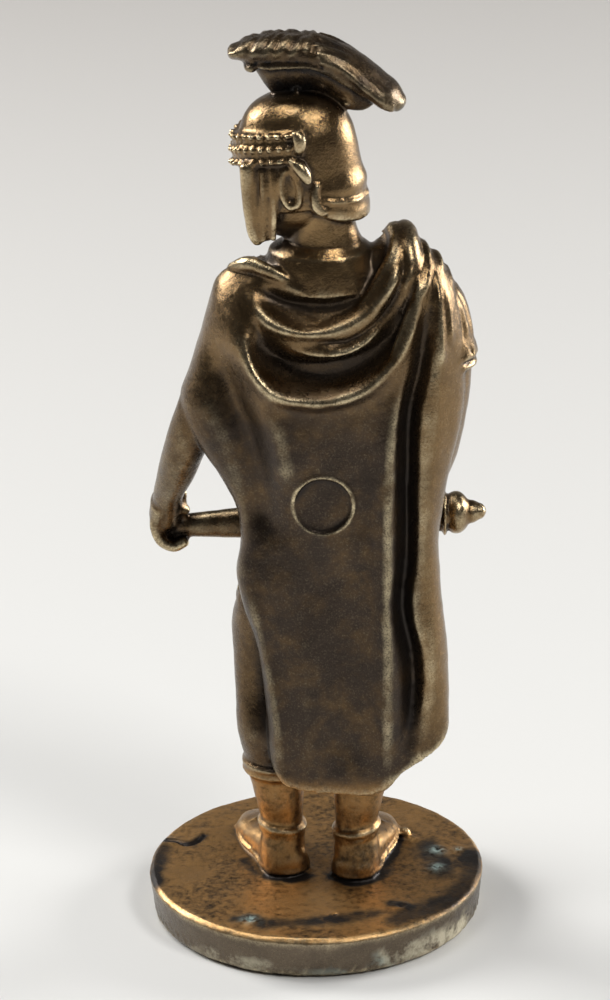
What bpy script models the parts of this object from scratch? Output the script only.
# Roman soldier miniature: one cast-brass figure on a round disc.
# Metres, +Z up. The origin is the centre of the disc's underside, and the figure faces -Y.
# The figure is drawn in millimetres above the disc's top face, and set on the disc at the end.

import math

import bmesh
import bpy
import numpy as np
from mathutils import Matrix

MM = 0.001

# Driving sizes of the disc, in millimetres.
BASE_TOP_RADIUS = 7.25
BASE_DRAFT = 0.2
BASE_THICKNESS = 1.9
BASE_EDGE = 0.18
BASE_SIDES = 72

# The figure's height from the disc to the top of the crest, the height it is drawn at, and how
# far its soles are sunk into the disc.
FIGURE_HEIGHT = 37.5
DRAWN_HEIGHT = 37.5
SOLE_DEPTH = 0.35

# How the head is turned to the figure's own left and nodded forward, in degrees.
HEAD_TURN = 82.0
HEAD_NOD = 7.0

# The cast surface: the grid the forms are fused on, and how many triangles are kept.
FUSE_GRID = 0.17
SMOOTH_ROUNDS = 3
KEPT_TRIANGLES = 9000


def read_smooth(at, table):
    """Read a smooth curve through a few rows: first column the place, the rest the values."""
    table = np.asarray(table, dtype=float)
    places = table[:, 0]
    values = table[:, 1:]
    slopes = np.gradient(values, places, axis=0)
    at = np.clip(np.asarray(at, dtype=float), places[0], places[-1])
    row = np.clip(np.searchsorted(places, at, side="right") - 1, 0, len(places) - 2)
    step = places[row + 1] - places[row]
    t = ((at - places[row]) / step)[..., None]
    step = step[..., None]
    rise = (1 + 2 * t) * (1 - t) ** 2 * values[row] + t * (1 - t) ** 2 * step * slopes[row]
    fall = t * t * (3 - 2 * t) * values[row + 1] + t * t * (t - 1) * step * slopes[row + 1]
    return rise + fall


def along(points, count):
    """Resample a short list of rows as a smooth curve with count rows."""
    points = np.asarray(points, dtype=float)
    steps = np.linalg.norm(np.diff(points[:, :3], axis=0), axis=1)
    places = np.concatenate([[0.0], np.cumsum(steps)])
    table = np.column_stack([places, points])
    return read_smooth(np.linspace(0.0, places[-1], count), table)


def loft(name, rings):
    """A closed body through rings of points, with a fan at each end."""
    rings = np.asarray(rings, dtype=float)
    bm = bmesh.new()
    rows = [[bm.verts.new(point) for point in ring] for ring in rings]
    sides = len(rows[0])
    for low, high in zip(rows, rows[1:]):
        for side in range(sides):
            nxt = (side + 1) % sides
            bm.faces.new((low[side], low[nxt], high[nxt], high[side]))
    for ring, row in ((rings[0], rows[0]), (rings[-1], rows[-1])):
        hub = bm.verts.new(ring.mean(axis=0))
        for side in range(sides):
            bm.faces.new((row[side], row[(side + 1) % sides], hub))
    bmesh.ops.recalc_face_normals(bm, faces=bm.faces)
    mesh = bpy.data.meshes.new(name)
    bm.to_mesh(mesh)
    bm.free()
    return mesh


def sheet(name, outer, inner):
    """A closed body between two grids of points, joined round their border."""
    rows, columns = outer.shape[:2]
    bm = bmesh.new()
    front = [[bm.verts.new(point) for point in line] for line in outer]
    back = [[bm.verts.new(point) for point in line] for line in inner]
    for grid in (front, back):
        for low, high in zip(grid, grid[1:]):
            for place in range(columns - 1):
                bm.faces.new((low[place], low[place + 1], high[place + 1], high[place]))
    border = [(0, place) for place in range(columns)]
    border += [(row, columns - 1) for row in range(1, rows)]
    border += [(rows - 1, place) for place in range(columns - 2, -1, -1)]
    border += [(row, 0) for row in range(rows - 2, 0, -1)]
    for here, there in zip(border, border[1:] + border[:1]):
        bm.faces.new((front[here[0]][here[1]], front[there[0]][there[1]],
                      back[there[0]][there[1]], back[here[0]][here[1]]))
    bmesh.ops.recalc_face_normals(bm, faces=bm.faces)
    mesh = bpy.data.meshes.new(name)
    bm.to_mesh(mesh)
    bm.free()
    return mesh


def column(name, table, rows=24, sides=28, flutes=0, flute_depth=0.0):
    """An upright form: rows of height, centre x, centre y, half width x and half width y."""
    table = np.asarray(table, dtype=float)
    turns = np.linspace(0.0, 2 * math.pi, sides, endpoint=False)
    rings = []
    for height in np.linspace(table[0, 0], table[-1, 0], rows):
        centre_x, centre_y, half_x, half_y = read_smooth(height, table)
        swell = 1.0 - flute_depth * np.abs(np.cos(turns * flutes / 2)) ** 6
        ring_x = centre_x + half_x * swell * np.cos(turns)
        ring_y = centre_y + half_y * swell * np.sin(turns)
        rings.append(np.column_stack([ring_x, ring_y, np.full(sides, height)]))
    return loft(name, rings)


def limb(name, path, rows=20, sides=18, reference=(0.0, 1.0, 0.0)):
    """A form along a path: rows of x, y, z, half width across and half width along reference."""
    line = along(path, rows)
    centres = line[:, :3]
    forward = np.gradient(centres, axis=0)
    forward /= np.linalg.norm(forward, axis=1)[:, None]
    across = np.cross(forward, np.asarray(reference))
    across /= np.linalg.norm(across, axis=1)[:, None]
    upward = np.cross(across, forward)
    turns = np.linspace(0.0, 2 * math.pi, sides, endpoint=False)
    rings = []
    for start in range(3):
        lean = math.cos(math.radians(75 - 25 * start))
        push = math.sin(math.radians(75 - 25 * start)) * line[0, 3:5].min() * 0.8
        rings.append((centres[0] - forward[0] * push, 0, lean))
    rings += [(centre, row, 1.0) for row, centre in enumerate(centres)]
    for start in (2, 1, 0):
        lean = math.cos(math.radians(75 - 25 * start))
        push = math.sin(math.radians(75 - 25 * start)) * line[-1, 3:5].min() * 0.8
        rings.append((centres[-1] + forward[-1] * push, -1, lean))
    built = []
    for centre, row, lean in rings:
        half_across, half_up = line[row, 3:5] * lean
        side_part = np.outer(np.cos(turns) * half_across, across[row])
        up_part = np.outer(np.sin(turns) * half_up, upward[row])
        built.append(centre + side_part + up_part)
    return loft(name, built)


def ball(name, centre, radii):
    """An ellipsoid."""
    bm = bmesh.new()
    place = Matrix.Translation(centre) @ Matrix.Diagonal((*radii, 1.0))
    bmesh.ops.create_uvsphere(bm, u_segments=24, v_segments=16, radius=1.0, matrix=place)
    mesh = bpy.data.meshes.new(name)
    bm.to_mesh(mesh)
    bm.free()
    return mesh


def turned(mesh, degrees, axis="Z", pivot=(0.0, 0.0, 0.0)):
    """Turn a mesh about an axis through pivot."""
    away = Matrix.Translation(pivot)
    mesh.transform(away @ Matrix.Rotation(math.radians(degrees), 4, axis) @ away.inverted())
    return mesh


# %% The folds of the cloak, drawn on its back as lines of x and z.
# Each fold has a height (below nought for a valley), a width and its line.

BACK_FOLDS = (
    (0.30, 0.35, ((2.5, 28.2), (0.8, 27.7), (-0.2, 27.2), (-1.7, 26.9), (-2.8, 27.3))),
    (-0.55, 0.45, ((-3.1, 27.6), (-1.5, 26.4), (0.2, 26.4), (1.6, 26.9), (2.2, 27.4))),
    (0.45, 0.40, ((-4.0, 29.0), (-3.5, 27.6), (-2.5, 26.5), (-1.0, 25.8), (1.3, 26.0), (2.6, 27.0))),
    (0.22, 0.35, ((-4.3, 27.9), (-3.8, 26.2), (-2.9, 25.0), (-1.5, 24.7), (0.0, 24.8))),
    (-0.85, 0.60, ((-3.7, 26.2), (-3.0, 24.7), (-1.8, 24.0), (0.0, 23.8), (1.4, 24.4), (2.2, 25.6))),
    (0.50, 0.45, ((-4.9, 27.9), (-4.4, 26.2), (-3.6, 24.4), (-2.4, 23.2), (-0.6, 22.7),
                  (1.2, 23.1), (2.2, 24.2), (2.7, 25.9))),
    (0.45, 0.75, ((3.1, 26.8), (2.6, 24.4), (1.8, 23.0), (1.3, 21.6), (1.0, 20.0), (0.8, 18.0))),
    (-0.90, 0.75, ((3.8, 25.2), (3.2, 22.8), (2.6, 21.2), (1.9, 19.1), (1.8, 16.9))),
    (-1.25, 0.42, ((-5.1, 27.2), (-4.7, 23.8), (-4.2, 21.6), (-4.1, 19.0), (-4.0, 15.0),
                   (-3.8, 13.0), (-4.2, 10.9), (-4.2, 8.5), (-3.7, 5.6))),
    (0.45, 0.60, ((-3.8, 23.0), (-3.3, 20.0), (-3.1, 14.0), (-3.0, 5.0))),
    (0.35, 0.60, ((-5.4, 27.0), (-5.4, 23.2), (-5.0, 18.0), (-5.0, 13.0), (-5.2, 7.5))),
    (0.35, 0.50, ((2.8, 13.8), (2.1, 11.3), (1.6, 9.0), (1.4, 5.5))),
    (-0.25, 1.10, ((-0.6, 16.5), (-1.4, 11.4), (-1.5, 5.0))),
)

# The front folds sweep from the clasp on the right shoulder over the chest to the left shoulder.
FRONT_FOLDS = (
    (0.35, 0.45, ((-4.2, 27.4), (-2.6, 26.4), (-0.6, 26.2), (1.6, 27.0), (2.8, 28.0))),
    (-0.50, 0.45, ((-4.2, 26.6), (-2.4, 25.5), (-0.2, 25.2), (2.2, 26.2), (3.4, 27.4))),
    (0.40, 0.45, ((-4.3, 26.3), (-2.2, 24.8), (0.2, 24.4), (2.6, 25.2), (4.0, 26.8))),
    (-0.55, 0.45, ((-4.3, 25.8), (-1.8, 24.0), (0.6, 23.5), (3.0, 24.2), (4.4, 25.6))),
    (0.40, 0.50, ((-4.0, 25.3), (-1.2, 23.2), (1.2, 22.6), (3.4, 23.1), (4.6, 24.3))),
)


def fold_heights(x, z, folds, spread=1.0):
    """How far the folds lift the cloth at each place; spread widens every fold."""
    lift = np.zeros_like(x)
    for height, width, line in folds:
        curve = along([(px, pz, 0.0) for px, pz in line], 70)
        gap_x = x[..., None] - curve[:, 0]
        gap_z = z[..., None] - curve[:, 1]
        gaps = np.sqrt(gap_x ** 2 + gap_z ** 2)
        nearest = gaps.argmin(axis=-1)
        share = nearest / (len(curve) - 1)
        fade = np.clip(np.minimum(share, 1 - share) / 0.14, 0.0, 1.0)
        fade = 0.25 + 0.75 * fade * fade * (3 - 2 * fade)
        lift += height * fade * np.exp(-(gaps.min(axis=-1) / (width * spread)) ** 2)
    return lift


# The cloak's outline at the back: height, x of its right edge, x of its left edge.
CLOAK_EDGES = (
    (4.3, -5.55, 1.30), (5.5, -5.70, 1.75), (8.2, -5.80, 1.98), (11.5, -5.70, 2.38),
    (13.0, -5.55, 2.85), (14.3, -5.48, 3.10), (16.0, -5.45, 2.88), (17.3, -5.65, 3.05),
    (18.5, -5.85, 3.60), (19.8, -6.15, 4.42), (20.8, -6.40, 5.00), (21.9, -6.55, 5.25),
    (23.3, -6.60, 4.80), (24.8, -6.55, 4.32), (26.0, -6.35, 3.98), (27.1, -6.05, 3.65),
    (28.0, -5.60, 3.25), (29.2, -4.90, 2.90),
)

# The depth of the cloth: height, y of the right edge, y of the left edge, y of the back.
CLOAK_DEPTHS = (
    (4.3, 1.5, 1.7, 3.05), (8.0, 1.3, 1.4, 3.00), (12.0, 1.0, 1.1, 2.85), (16.0, 0.8, 0.7, 2.75),
    (19.0, 0.7, 0.3, 2.75), (22.0, 0.5, -0.3, 2.80), (25.0, 0.3, -0.5, 2.75), (28.0, 0.2, -0.3, 2.3),
)

# Across the cloth from its right edge at -1 to its left edge at 1: z and y of the upper edge.
CLOAK_TOP = (
    (-1.0, 27.2, 0.0), (-0.8, 28.1, 0.1), (-0.57, 28.9, 0.2), (-0.42, 29.2, 0.3),
    (-0.33, 28.5, 0.7), (-0.26, 27.7, 1.1), (-0.18, 27.3, 1.5), (-0.05, 27.1, 1.7),
    (0.12, 27.3, 1.7), (0.27, 27.7, 1.4), (0.42, 27.9, 0.8), (0.65, 27.8, 0.2), (0.85, 27.4, 0.0),
    (1.0, 26.8, -0.2),
)
CLOAK_HEM = (
    (-1.0, 7.5), (-0.8, 6.8), (-0.55, 6.25), (-0.3, 5.5), (-0.19, 4.9), (-0.1, 4.7), (0.2, 4.72),
    (0.6, 4.85), (0.8, 5.05), (1.0, 5.8),
)
CLOAK_CLOTH = 0.95
CLOAK_ROLL = 2.2


def cloak_back(rows=80, columns=72):
    """The cloth that hangs down the back, from the shoulders to the hem."""
    across = np.linspace(-1.0, 1.0, columns)[None, :]
    down = np.linspace(0.0, 1.0, rows)[:, None]
    across, down = np.broadcast_arrays(across, down)
    upper = read_smooth(across, CLOAK_TOP)
    hem = read_smooth(across, CLOAK_HEM)[..., 0]
    z = upper[..., 0] + (hem - upper[..., 0]) * down
    edges = read_smooth(z, CLOAK_EDGES)
    depths = read_smooth(z, CLOAK_DEPTHS)
    side_y = np.where(across < 0, depths[..., 0], depths[..., 1])
    middle = (edges[..., 0] + edges[..., 1]) / 2
    half = (edges[..., 1] - edges[..., 0]) / 2
    bow = np.cos(across * math.pi / 2 * 0.995)
    shape = np.sin(across * math.pi / 2)
    below = np.clip((upper[..., 0] - z) / CLOAK_ROLL, 0.0, 1.0)
    roll = np.sqrt(1 - (1 - below) ** 2)
    share = bow ** 0.4 * (0.3 + 0.7 * roll)
    lift = fold_heights(middle + half * shape, z, BACK_FOLDS) * share
    hollow = np.minimum(fold_heights(middle + half * shape, z, BACK_FOLDS, 1.7), 0.0) * share
    y = side_y + (depths[..., 2] - side_y) * bow ** 0.62
    y = upper[..., 1] + (y - upper[..., 1]) * roll
    outer = np.stack([middle + half * shape, y + lift, z], axis=-1)
    inner_x = middle + (half - CLOAK_CLOTH * 0.75) * shape
    inner = np.stack([inner_x, y + hollow - CLOAK_CLOTH, z], axis=-1)
    return sheet("cloak back", outer, inner)


# Across the chest from the clasp at -1 to the left arm at 1: top z, hem z, x and y of the cloth.
CHEST_DRAPE = (
    (-1.0, 27.3, 25.6, -4.8, -1.5), (-0.6, 27.4, 24.2, -3.4, -2.35), (-0.2, 26.9, 22.9, -1.6, -2.75),
    (0.2, 26.9, 22.0, 0.3, -2.75), (0.6, 27.0, 21.5, 2.2, -2.4), (0.85, 26.6, 21.6, 3.5, -1.6),
    (1.0, 25.6, 22.0, 4.2, -0.7),
)


def cloak_front(rows=34, columns=44):
    """The cloth that crosses the chest from the right shoulder's clasp to the left arm."""
    across = np.linspace(-1.0, 1.0, columns)[None, :]
    down = np.linspace(0.0, 1.0, rows)[:, None]
    across, down = np.broadcast_arrays(across, down)
    read = read_smooth(across, CHEST_DRAPE)
    z = read[..., 0] + (read[..., 1] - read[..., 0]) * down
    narrow = np.clip((z - 22.5) / 4.5, 0.0, 1.0) ** 2 * np.clip(across, 0.0, 1.0)
    x = read[..., 2] - 1.2 * narrow
    below = np.clip((read[..., 0] - z) / CLOAK_ROLL, 0.0, 1.0)
    roll = np.sqrt(1 - (1 - below) ** 2)
    lift = fold_heights(x, z, FRONT_FOLDS) * (0.3 + 0.7 * roll)
    outer = np.stack([x, -0.2 + (read[..., 3] + 0.2) * roll - lift, z], axis=-1)
    inner = outer + np.array([0.0, CLOAK_CLOTH, 0.0])
    return sheet("cloak front", outer, inner)


def clothing():
    """The cloak, its gathered shoulder and its clasp."""
    gather = ((-4.7, 1.7, 26.8, 0.9, 1.1), (-4.3, 1.0, 28.2, 0.8, 0.8), (-4.1, -0.1, 28.6, 0.75, 0.7),
              (-4.1, -1.3, 27.9, 0.8, 0.7), (-4.1, -2.1, 26.6, 0.8, 0.6))
    left_cover = ((0.6, 0.1, 26.7, 1.0, 1.4), (1.9, 0.0, 26.1, 1.4, 1.8), (2.75, -0.1, 24.8, 1.45, 1.8),
                  (3.4, -0.1, 23.2, 1.3, 1.6), (4.1, 0.0, 22.0, 1.0, 1.3))
    right_cover = ((-2.6, 0.1, 27.3, 1.0, 1.3), (-4.0, 0.1, 27.6, 1.3, 1.5), (-5.0, 0.3, 26.3, 1.3, 1.5))
    return [
        cloak_back(),
        cloak_front(),
        limb("shoulder gather", gather, reference=(1.0, 0.0, 0.0)),
        limb("left arm cover", left_cover),
        limb("right shoulder cover", right_cover),
        ball("left shoulder", (2.1, -0.4, 26.1), (1.6, 1.7, 1.2)),
        ball("clasp", (-4.1, -2.5, 26.9), (0.75, 0.4, 0.75)),
    ]


SOLE_HALF = 0.3


def body():
    """The torso, the skirt of strips and the legs."""
    torso = ((13.0, -0.95, -0.1, 3.2, 2.0), (16.5, -1.05, -0.1, 2.8, 1.75), (18.5, -1.1, -0.1, 2.9, 1.8),
             (21.5, -1.2, -0.1, 3.4, 2.1), (24.0, -1.25, -0.1, 3.9, 2.25), (26.0, -1.3, 0.0, 4.1, 2.0),
             (27.3, -1.2, 0.1, 3.0, 1.6), (28.2, -1.0, 0.1, 1.9, 1.35), (28.6, -0.95, 0.1, 1.5, 1.2))
    skirt = ((12.3, -0.8, -0.3, 4.0, 2.5), (14.5, -0.85, -0.25, 3.65, 2.35), (16.8, -1.0, -0.15, 3.05, 1.95),
             (17.4, -1.05, -0.1, 2.95, 1.85))
    belt = ((16.7, -1.05, -0.1, 2.95, 1.95), (17.2, -1.05, -0.1, 3.05, 2.05), (17.7, -1.05, -0.1, 2.95, 1.95))
    neck = ((26.8, -1.0, 0.1, 2.1, 1.8), (27.8, -0.95, 0.1, 1.6, 1.5), (28.8, -0.85, 0.1, 1.35, 1.35),
            (31.0, -0.6, 0.1, 1.4, 1.4))
    forms = [
        column("torso", torso, rows=30),
        column("skirt", skirt, sides=112, rows=10, flutes=28, flute_depth=0.1),
        column("belt", belt, rows=6),
        column("neck", neck),
    ]
    for side, hip_x, knee_x, ankle_x, ankle_y, splay in (
        ("left", 0.8, 2.15, 1.42, 0.2, 17.0), ("right", -2.6, -2.7, -1.78, 0.7, -14.0),
    ):
        leg = ((1.0, ankle_x, ankle_y + 0.1, 1.0, 1.15), (2.2, ankle_x, ankle_y, 0.92, 1.0),
               (3.4, ankle_x + 0.10 * np.sign(splay), ankle_y, 1.05, 1.12),
               (5.0, (2 * ankle_x + knee_x) / 3, ankle_y - 0.05, 1.25, 1.3),
               (6.8, (ankle_x + 2 * knee_x) / 3, ankle_y, 1.35, 1.45),
               (8.6, knee_x, ankle_y - 0.35, 1.15, 1.2), (10.2, knee_x, -0.35, 1.2, 1.3),
               (12.0, (3 * knee_x + hip_x) / 4, -0.2, 1.5, 1.6), (14.0, hip_x, -0.1, 1.7, 1.8))
        forms.append(column(side + " leg", leg, rows=30, sides=24))
        rim_x = (2 * ankle_x + knee_x) / 3
        rim = ((4.75, rim_x, ankle_y, 1.25, 1.3), (5.05, rim_x, ankle_y, 1.42, 1.5),
               (5.35, rim_x, ankle_y, 1.28, 1.33))
        forms.append(column(side + " boot rim", rim, rows=8, sides=24))
        ring = ((1.75, ankle_x, ankle_y, 0.95, 1.05), (2.0, ankle_x, ankle_y, 1.12, 1.22),
                (2.25, ankle_x, ankle_y, 0.95, 1.05))
        forms.append(column(side + " ankle strap", ring, rows=8, sides=24))
        foot = ((0.0, 0.7, 0.55, 0.95, 0.85), (0.0, -0.8, 0.65, 1.0, 0.8), (0.0, -2.3, 0.5, 1.1, 0.62),
                (0.0, -3.7, 0.35, 1.0, 0.5), (0.0, -4.2, 0.3, 0.75, 0.4))
        sole_z = SOLE_HALF - SOLE_DEPTH
        sole = [(0.0, y, sole_z, half, SOLE_HALF)
                for y, half in ((0.85, 1.0), (-0.8, 1.0), (-2.3, 1.2), (-3.9, 1.05))]
        for part, path in (("foot", foot), ("sole", sole)):
            mesh = limb(side + " " + part, path, reference=(0.0, 0.0, 1.0))
            turned(mesh, splay)
            mesh.transform(Matrix.Translation((ankle_x, ankle_y, 0.0)))
            forms.append(mesh)
    return forms


SWORD_Y = -2.75
SWORD_Z = 15.05
SWORD_RISE = 0.03


def on_sword(x, *sizes):
    """A row of a path at a place along the sword, which rises a little towards the pommel."""
    return (x, SWORD_Y, SWORD_Z - SWORD_RISE * x, *sizes)


def arms_and_sword():
    """Both arms hang down, and the hands hold a sheathed sword level across the thighs."""
    left_arm = ((2.2, 0.0, 25.3, 1.4, 1.4), (3.7, 0.2, 22.8, 1.15, 1.2), (4.75, 0.1, 20.6, 0.95, 1.0),
                (5.5, -0.9, 18.3, 0.8, 0.85), (6.0, -2.1, 16.4, 0.62, 0.7), (6.1, -2.6, 15.4, 0.62, 0.75))
    right_arm = ((-5.2, 0.0, 25.6, 1.5, 1.5), (-5.75, 0.1, 23.0, 1.15, 1.2), (-5.6, 0.2, 20.5, 0.95, 1.05),
                 (-5.1, -0.9, 18.0, 0.85, 0.9), (-4.5, -2.1, 16.3, 0.65, 0.7), (-4.2, -2.6, 15.4, 0.7, 0.75))
    sleeve = ((27.2, -4.6, 0.0, 1.2, 1.3), (26.4, -4.9, 0.0, 1.6, 1.6), (25.2, -5.2, 0.0, 1.75, 1.7),
              (24.1, -5.4, 0.05, 1.68, 1.7), (23.4, -5.5, 0.1, 1.5, 1.55))
    scabbard = (on_sword(6.2, 0.48, 0.42), on_sword(4.5, 0.58, 0.48), on_sword(1.0, 0.8, 0.55),
                on_sword(-2.6, 0.88, 0.6))
    grip = (on_sword(-2.6, 0.5, 0.5), on_sword(-5.2, 0.5, 0.5))
    pommel_end = (on_sword(-6.6, 0.5, 0.5), on_sword(-7.3, 0.35, 0.35))
    guard = ((-2.75, SWORD_Y, SWORD_Z - 0.95, 0.3, 0.55), (-2.75, SWORD_Y, SWORD_Z + 1.1, 0.3, 0.55))
    left_fist = ((6.25, -2.3, 16.2, 0.5, 0.8), (6.45, -2.8, 15.2, 0.42, 0.9), (6.15, -2.9, 14.3, 0.4, 0.85),
                 (5.5, -2.75, 13.95, 0.36, 0.7))
    right_fist = ((-4.1, -2.3, 16.0, 0.9, 0.5), (-4.1, -3.3, 15.6, 0.95, 0.45),
                  (-4.1, -3.4, 14.6, 0.95, 0.45), (-4.1, -2.6, 14.2, 0.9, 0.4))
    return [
        limb("left arm", left_arm, rows=26),
        limb("right arm", right_arm, rows=26),
        column("right sleeve", sleeve[::-1], rows=12, sides=72, flutes=18, flute_depth=0.07),
        limb("scabbard", scabbard),
        limb("grip", grip),
        limb("guard", guard, reference=(1.0, 0.0, 0.0)),
        ball("pommel collar", on_sword(-5.45), (0.28, 0.85, 0.85)),
        ball("pommel", on_sword(-6.35), (0.72, 0.95, 0.95)),
        limb("pommel button", pommel_end),
        limb("left fist", left_fist),
        limb("right fist", right_fist, reference=(1.0, 0.0, 0.0)),
        ball("left thumb", (5.55, -2.3, 15.75), (0.55, 0.35, 0.35)),
        ball("right thumb", (-3.3, -2.2, 15.75), (0.55, 0.35, 0.35)),
    ]


# %% The head, drawn upright and looking along -Y about the line x = 0, y = 0.

HEAD_AXIS = (0.05, 0.05)
NOD_HEIGHT = 31.5
DOME_CENTRE = 31.6
DOME_TOP = 35.1
DOME_HALF_WIDTH = 2.2
DOME_HALF_LENGTH = 2.55
DOME_POWER = 3.0
DOME_FOOT = 29.8


def dome_half(z):
    """Half width and half length of the helmet's dome at a height."""
    share = np.clip((z - DOME_CENTRE) / (DOME_TOP - DOME_CENTRE), 0.0, 1.0)
    size = (1 - share ** DOME_POWER) ** (1 / DOME_POWER)
    return DOME_HALF_WIDTH * size, DOME_HALF_LENGTH * size


def helmet_shell():
    """The dome of the helmet, drawn in towards the nape and open over the face."""
    turns = np.linspace(0.0, 2 * math.pi, 40, endpoint=False)
    rings = []
    for z in np.linspace(DOME_FOOT, DOME_TOP - 0.002, 36):
        half_x, half_y = dome_half(z)
        tuck = np.clip((31.4 - z) / 1.2, 0.0, 1.0)
        front = np.clip(-np.sin(turns), 0.0, 1.0) * (0.6 * tuck + 0.1)
        ring_x = (half_x - 0.35 * tuck) * np.cos(turns)
        ring_y = (half_y - 0.2 * tuck - front) * np.sin(turns)
        rings.append(np.column_stack([ring_x, ring_y, np.full(len(turns), z)]))
    return loft("helmet", rings)


# Bearings from the front in degrees, with the band's lower edge, upper edge and lift there.
BROW_BAND = ((0.0, 32.15, 33.8, 0.2), (55.0, 32.55, 34.1, 0.26), (98.0, 32.65, 34.1, 0.26))
NECK_GUARD = ((104.0, 30.6, 31.3, 0.0), (125.0, 30.1, 30.9, 0.06), (150.0, 29.65, 30.45, 0.12),
              (180.0, 29.5, 30.3, 0.14))


def bent_band(name, table, sides, rows=30):
    """A raised band that follows the dome on one side or on both."""
    bearings = np.linspace(table[0][0], table[-1][0], rows)
    low, high, lift = read_smooth(bearings, table).T
    if sides == "front":
        bearings = np.concatenate([-bearings[:0:-1], bearings])
        low, high, lift = (np.concatenate([part[:0:-1], part]) for part in (low, high, lift))
    else:
        bearings = np.concatenate([bearings, 360.0 - bearings[-2::-1]])
        low, high, lift = (np.concatenate([part, part[-2::-1]]) for part in (low, high, lift))
    rings = []
    for bearing, z_low, z_high, out in zip(np.radians(bearings), low, high, lift):
        ring = []
        middle = (z_low + z_high) / 2
        for z, push in ((z_low, -0.6), (z_low + 0.12, out), (middle, out * 1.2 + 0.04),
                        (z_high - 0.12, out), (z_high, -0.6)):
            half_x, half_y = dome_half(z)
            ring.append(((half_x + push) * math.sin(bearing), -(half_y + push) * math.cos(bearing), z))
        rings.append(ring)
    return loft(name, rings)


def cheek_piece(side):
    """A cheek guard from the brow band to the chin."""
    path = ((1.9 * side, -1.42, 32.6, 0.68, 0.35), (1.88 * side, -1.46, 31.5, 0.7, 0.34),
            (1.76 * side, -1.5, 30.4, 0.7, 0.32), (1.55 * side, -1.46, 29.6, 0.62, 0.3),
            (1.4 * side, -1.42, 29.25, 0.5, 0.3))
    return limb("cheek piece", path, reference=(1.0, 0.0, 0.0))


# The plume's line: y, z, half width and half thickness, from its front tip to its back tip.
PLUME = (
    (-2.0, 37.0, 0.6, 0.30), (-1.1, 37.0, 0.95, 0.5), (0.1, 36.95, 1.1, 0.6), (1.3, 36.7, 1.15, 0.6),
    (2.5, 36.05, 1.15, 0.58), (3.6, 35.05, 1.0, 0.52), (4.35, 34.4, 0.7, 0.4),
)
# The plume's holder: y, the height of its foot and of its rim, and the rim's half width.
HOLDER = (
    (-1.1, 36.0, 36.5, 0.45), (-0.7, 35.0, 36.5, 0.7), (0.2, 34.8, 36.45, 0.8), (1.3, 34.7, 36.25, 0.85),
    (2.3, 34.1, 35.5, 0.8), (3.0, 33.7, 34.8, 0.65), (3.4, 33.9, 34.4, 0.4),
)


def crest():
    """The plume that runs from front to back on its flared holder."""
    turns = np.linspace(0.0, 2 * math.pi, 20, endpoint=False)
    flare = 0.62 + 0.38 * np.sin(turns)
    rings = []
    for y, foot, rim, half in HOLDER:
        ring_z = (foot + rim) / 2 + (rim - foot) / 2 * np.sin(turns)
        rings.append(np.column_stack([half * np.cos(turns) * flare, np.full(len(turns), y), ring_z]))
    plume = [(0.0, *row) for row in PLUME]
    return [limb("plume", plume, rows=40, sides=24, reference=(0.0, 0.0, 1.0)),
            loft("crest holder", rings)]


def head():
    """Helmet, face, ears and crest, nodded and turned on the neck."""
    forms = [
        helmet_shell(),
        ball("skull", (0.0, -0.2, 30.9), (1.75, 1.7, 1.7)),
        ball("face", (0.0, -0.8, 30.95), (1.5, 1.45, 2.05)),
        ball("nose", (0.0, -2.25, 31.15), (0.28, 0.35, 0.6)),
        bent_band("brow band", BROW_BAND, "front"),
        bent_band("neck guard", NECK_GUARD, "back"),
        *crest(),
    ]
    for side in (-1, 1):
        forms.append(cheek_piece(side))
        forms.append(ball("ear", (2.0 * side, -0.12, 31.7), (0.32, 0.42, 0.85)))
    for mesh in forms:
        turned(mesh, HEAD_NOD, "X", (0.0, 0.0, NOD_HEIGHT))
        turned(mesh, HEAD_TURN)
        mesh.transform(Matrix.Translation((*HEAD_AXIS, 0.0)))
    return forms


# %% Fusing the forms into one cast body.


def settled(source, modifiers):
    """A new mesh with the modifiers applied, each given as its type and its settings."""
    scratch = bpy.data.objects.new("scratch", source)
    bpy.context.scene.collection.objects.link(scratch)
    for kind, settings in modifiers:
        modifier = scratch.modifiers.new(kind, kind)
        for setting, value in settings.items():
            setattr(modifier, setting, value)
    bpy.context.view_layer.update()
    evaluated = scratch.evaluated_get(bpy.context.evaluated_depsgraph_get())
    result = bpy.data.meshes.new_from_object(evaluated)
    bpy.data.objects.remove(scratch)
    return result


def fused(forms):
    """One closed surface round all the forms, smoothed as cast metal is."""
    bm = bmesh.new()
    for mesh in forms:
        bm.from_mesh(mesh)
        bpy.data.meshes.remove(mesh)
    joined = bpy.data.meshes.new("joined")
    bm.to_mesh(joined)
    bm.free()
    cast = settled(joined, [
        ("REMESH", {"mode": "VOXEL", "voxel_size": FUSE_GRID, "adaptivity": 0.0}),
        ("SMOOTH", {"factor": 0.5, "iterations": int(SMOOTH_ROUNDS)}),
        ("TRIANGULATE", {}),
    ])
    share = KEPT_TRIANGLES / len(cast.polygons)
    return settled(cast, [("DECIMATE", {"ratio": min(1.0, share)})])


def largest_piece(mesh):
    """Keep the one body that holds nearly all the triangles."""
    bm = bmesh.new()
    bm.from_mesh(mesh)
    waiting = set(bm.verts)
    pieces = []
    while waiting:
        front = [waiting.pop()]
        piece = set(front)
        while front:
            vert = front.pop()
            for edge in vert.link_edges:
                other = edge.other_vert(vert)
                if other in waiting:
                    waiting.discard(other)
                    piece.add(other)
                    front.append(other)
        pieces.append(piece)
    pieces.sort(key=len, reverse=True)
    for piece in pieces[1:]:
        bmesh.ops.delete(bm, geom=list(piece), context="VERTS")
    bm.to_mesh(mesh)
    bm.free()
    return mesh


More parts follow.
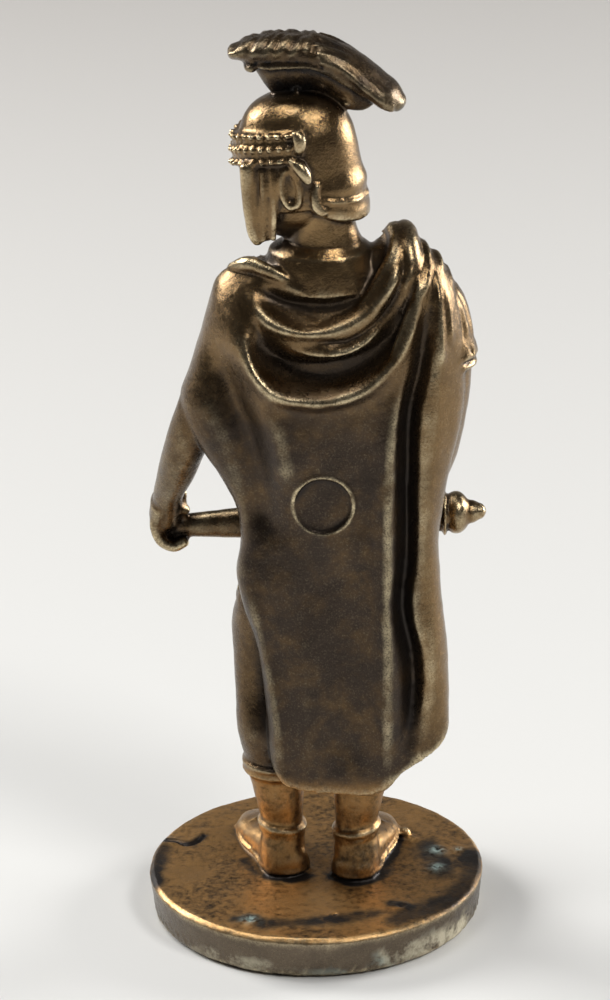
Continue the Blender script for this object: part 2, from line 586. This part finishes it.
def disc():
    """The round base, a little narrower below, with a small bevel on both rims."""
    low = BASE_TOP_RADIUS - BASE_DRAFT
    profile = ((low - BASE_EDGE, 0.0), (low, BASE_EDGE),
               (BASE_TOP_RADIUS, BASE_THICKNESS - BASE_EDGE), (BASE_TOP_RADIUS - BASE_EDGE, BASE_THICKNESS))
    turns = np.linspace(0.0, 2 * math.pi, BASE_SIDES, endpoint=False)
    bm = bmesh.new()
    rows = []
    for radius, z in profile:
        row = [bm.verts.new((radius * math.cos(t) * MM, radius * math.sin(t) * MM, z * MM)) for t in turns]
        rows.append(row)
    for low_row, high_row in zip(rows, rows[1:]):
        for side in range(BASE_SIDES):
            nxt = (side + 1) % BASE_SIDES
            bm.faces.new((low_row[side], low_row[nxt], high_row[nxt], high_row[side]))
    bm.faces.new(rows[0][::-1])
    bm.faces.new(rows[-1])
    bmesh.ops.recalc_face_normals(bm, faces=bm.faces)
    mesh = bpy.data.meshes.new("roman_soldier")
    bm.to_mesh(mesh)
    bm.free()
    return mesh


def brass():
    """Antique brass, dark in the hollows: the plain colour of the whole casting."""
    material = bpy.data.materials.new("antique brass")
    material.use_nodes = True
    shader = material.node_tree.nodes["Principled BSDF"]
    shader.inputs["Base Color"].default_value = (0.19, 0.12, 0.055, 1.0)
    shader.inputs["Metallic"].default_value = 1.0
    shader.inputs["Roughness"].default_value = 0.42
    return material


def build():
    """Clear the scene and make the casting."""
    for old in list(bpy.data.objects):
        bpy.data.objects.remove(old)
    figure = largest_piece(fused(body() + clothing() + arms_and_sword() + head()))
    scale = FIGURE_HEIGHT / DRAWN_HEIGHT * MM
    figure.transform(Matrix.Translation((0.0, 0.0, BASE_THICKNESS * MM)) @ Matrix.Scale(scale, 4))
    figure_object = bpy.data.objects.new("figure form", figure)
    figure_object.hide_render = True
    figure_object.display_type = "WIRE"
    bpy.context.scene.collection.objects.link(figure_object)

    soldier = bpy.data.objects.new("roman_soldier", disc())
    bpy.context.scene.collection.objects.link(soldier)
    soldier.data.materials.append(brass())
    union = soldier.modifiers.new("figure", "BOOLEAN")
    union.operation = "UNION"
    union.solver = "EXACT"
    union.object = figure_object


build()
